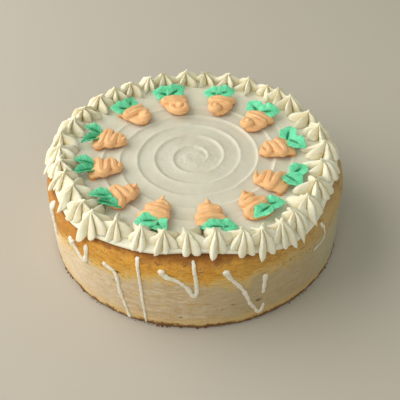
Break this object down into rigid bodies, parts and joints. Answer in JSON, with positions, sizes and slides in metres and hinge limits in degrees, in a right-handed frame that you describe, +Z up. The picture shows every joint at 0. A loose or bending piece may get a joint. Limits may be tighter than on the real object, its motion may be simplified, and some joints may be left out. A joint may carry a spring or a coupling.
{
  "type": "carrot cake",
  "caption": "Whole round carrot cake: browned sides, a spiral-combed frosting top, a ring of piped frosting stars, and small piped carrots with green leaves.",
  "frame": {"origin": "centre of the flat base, on the surface that the cake stands on", "axes": "+Z up along the round cake's middle; -Y is the side shown in front"},
  "size_m": [0.2312, 0.2299, 0.0857],
  "materials": {
    "crust": "baked crumb, dull, golden brown at the top edge and pale tan below",
    "frosting": "smoothed cream frosting, soft sheen",
    "star_frosting": "piped cream frosting, soft sheen",
    "carrot_icing": "piped orange icing, soft sheen",
    "leaf_icing": "piped green icing, soft sheen",
    "drizzle_icing": "thin white glaze run down the side, set, slightly glossy"
  },
  "bodies": {
    "root": {"cake_body": "crust", "frosting_top": "frosting", "star_01": "star_frosting", "star_02": "star_frosting", "star_03": "star_frosting", "star_04": "star_frosting", "star_05": "star_frosting", "star_06": "star_frosting", "star_07": "star_frosting", "star_08": "star_frosting", "star_09": "star_frosting", "star_10": "star_frosting", "star_11": "star_frosting", "star_12": "star_frosting", "star_13": "star_frosting", "star_14": "star_frosting", "star_15": "star_frosting", "star_16": "star_frosting", "star_17": "star_frosting", "star_18": "star_frosting", "star_19": "star_frosting", "star_20": "star_frosting", "star_21": "star_frosting", "star_22": "star_frosting", "star_23": "star_frosting", "star_24": "star_frosting", "star_25": "star_frosting", "star_26": "star_frosting", "star_27": "star_frosting", "star_28": "star_frosting", "star_29": "star_frosting", "star_30": "star_frosting", "star_31": "star_frosting", "star_32": "star_frosting", "star_33": "star_frosting", "star_34": "star_frosting", "star_35": "star_frosting", "star_36": "star_frosting", "carrot_01": "carrot_icing", "carrot_02": "carrot_icing", "carrot_03": "carrot_icing", "carrot_04": "carrot_icing", "carrot_05": "carrot_icing", "carrot_06": "carrot_icing", "carrot_07": "carrot_icing", "carrot_08": "carrot_icing", "carrot_09": "carrot_icing", "carrot_10": "carrot_icing", "carrot_11": "carrot_icing", "carrot_12": "carrot_icing"}
  },
  "joints": []
}
